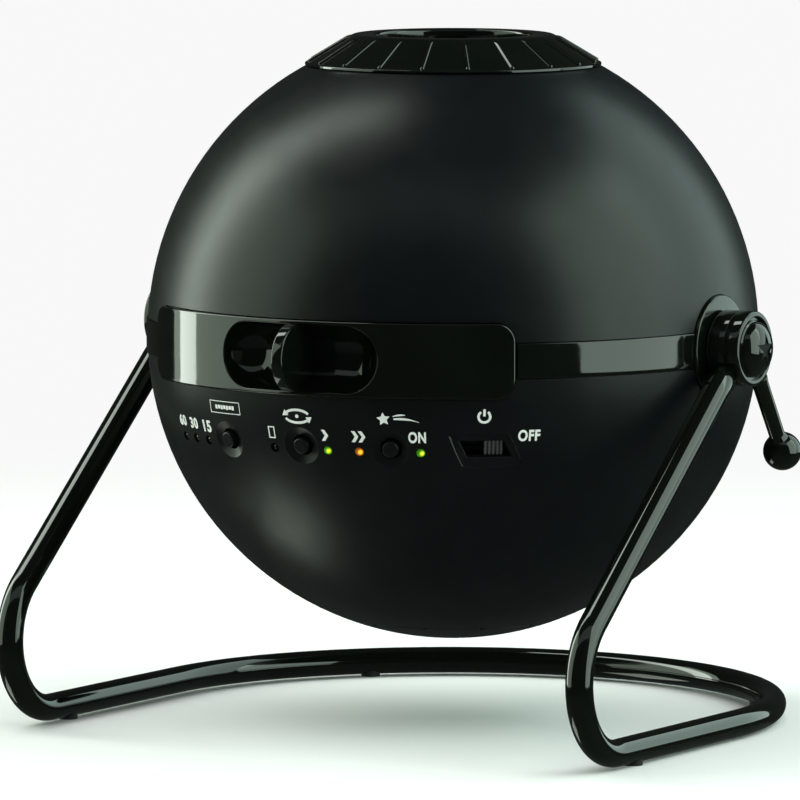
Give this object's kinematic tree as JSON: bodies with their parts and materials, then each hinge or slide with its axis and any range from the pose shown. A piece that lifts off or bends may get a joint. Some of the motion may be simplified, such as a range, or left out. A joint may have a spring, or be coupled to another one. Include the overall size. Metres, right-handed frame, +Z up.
{
  "type": "planetarium projector",
  "caption": "Ball-shaped home star projector on a bent tube stand, with a focus ring and lens on top, a sliding star-disc tray at the front and a clamp lever at its tilt pivot.",
  "frame": {"origin": "on the table under the middle of the object, straight below the tilt pivot", "axes": "+Z up, front and tray along -Y, +X towards the clamp lever along the tilt axis"},
  "size_m": [0.1746, 0.1652, 0.1685],
  "materials": {
    "gloss_black": "gloss",
    "satin_black": "satin",
    "black_rubber": "matte",
    "steel": "satin",
    "grey_plastic": "matte",
    "dark_plastic": "matte",
    "cell_jacket": "gloss",
    "aluminium": "satin",
    "white_board": "satin",
    "emitter_yellow": "gloss",
    "lens_glass": "polished",
    "board_green": "satin",
    "lamp_green": "gloss",
    "lamp_amber": "gloss",
    "lamp_dark": "gloss",
    "disc_grey": "satin",
    "star_film": "gloss",
    "ivory_plastic": "satin"
  },
  "bodies": {
    "stand": {"stand_tube": "gloss_black", "anti_slip_pads": "black_rubber", "left_hub_eye": "gloss_black", "right_hub_eye": "gloss_black", "left_hub_cap": "gloss_black", "left_pivot_pin": "steel", "friction_washers": "black_rubber"},
    "clamp_lever": {"clamp_head": "gloss_black", "clamp_stud": "steel", "lever_rod": "gloss_black", "lever_ball": "gloss_black", "right_hub_cap": "gloss_black"},
    "ball": {"upper_shell": "satin_black", "lower_shell": "satin_black", "belt_front_left": "gloss_black", "belt_front_right": "gloss_black", "belt_rear": "gloss_black", "left_pivot_flange": "gloss_black", "right_pivot_flange": "gloss_black", "flange_nuts": "steel", "shell_screws": "steel", "chassis": "grey_plastic", "chassis_screws": "steel", "tray_rails": "grey_plastic", "battery_box": "grey_plastic", "battery_cells": "cell_jacket", "heat_sink": "aluminium", "led_board": "white_board", "led_emitter": "emitter_yellow", "lamp_house": "grey_plastic", "condenser_lens": "lens_glass", "gear_motor": "steel", "motor_bracket": "steel", "control_board": "board_green", "tact_switches": "dark_plastic", "power_switch_body": "dark_plastic", "green_lamps": "lamp_green", "amber_lamp": "lamp_amber", "unlit_lamps": "lamp_dark", "dc_jack": "dark_plastic", "lens_sleeve": "grey_plastic", "sleeve_screws": "steel"},
    "focus": {"focus_ring": "gloss_black", "focus_retainer": "grey_plastic"},
    "barrel": {"lens_barrel": "dark_plastic", "front_lens": "lens_glass", "rear_lens": "lens_glass", "lens_retainers": "dark_plastic"},
    "tray": {"tray_front": "gloss_black", "tray_deck": "grey_plastic"},
    "disc": {"disc_gear_frame": "disc_grey", "star_film": "star_film"},
    "pinion": {"drive_pinion": "ivory_plastic"},
    "timer": {"timer_button": "satin_black"},
    "rotation": {"rotation_button": "satin_black"},
    "meteor": {"meteor_button": "satin_black"},
    "power": {"power_knob": "satin_black"},
    "lid": {"battery_lid": "satin_black", "lid_springs": "steel", "lid_screw": "steel"}
  },
  "joints": [
    {"name": "ball_tilt", "type": "hinge", "parent": "stand", "child": "ball", "pos_m": [0, 0, 0.095], "axis": [1, 0, 0], "range_deg": [-90, 90]},
    {"name": "clamp_lever_turn", "type": "hinge", "parent": "stand", "child": "clamp_lever", "pos_m": [0, 0, 0.095], "axis": [1, 0, 0], "range_deg": [0, 75]},
    {"name": "focus_turn", "type": "hinge", "parent": "ball", "child": "focus", "pos_m": [0, 0, 0.095], "axis": [0, 0, 1], "range_deg": [-50, 50]},
    {"name": "barrel_slide", "type": "slide", "parent": "focus", "child": "barrel", "axis": [0, 0, 1], "range_m": [-0.0026, 0.0026]},
    {"name": "tray_slide", "type": "slide", "parent": "ball", "child": "tray", "axis": [0, -1, 0], "range_m": [0, 0.06]},
    {"name": "disc_spin", "type": "hinge", "parent": "tray", "child": "disc", "pos_m": [0, 0, 0.095], "axis": [0, 0, 1], "continuous": true},
    {"name": "pinion_spin", "type": "hinge", "parent": "ball", "child": "pinion", "pos_m": [0, 0.036, 0.095], "axis": [0, 0, 1], "continuous": true},
    {"name": "timer_press", "type": "slide", "parent": "ball", "child": "timer", "axis": [0.3009, 0.9099, 0.2857], "range_m": [0, 0.0008], "stiffness_N_per_m": 200},
    {"name": "rotation_press", "type": "slide", "parent": "ball", "child": "rotation", "axis": [0, 0.9583, 0.2857], "range_m": [0, 0.0008], "stiffness_N_per_m": 200},
    {"name": "meteor_press", "type": "slide", "parent": "ball", "child": "meteor", "axis": [-0.3009, 0.9099, 0.2857], "range_m": [0, 0.0008], "stiffness_N_per_m": 200},
    {"name": "power_slide", "type": "slide", "parent": "ball", "child": "power", "axis": [-0.8049, -0.5934, 0], "range_m": [0, 0.004]},
    {"name": "lid_release", "type": "slide", "parent": "ball", "child": "lid", "axis": [0, 0, -1], "range_m": [0, 0.012]}
  ],
  "couplings": [
    {"joint": "barrel_slide", "follows": "focus_turn", "m_per_rad": 0.0028648},
    {"joint": "pinion_spin", "follows": "disc_spin", "ratio": -5.4286}
  ]
}
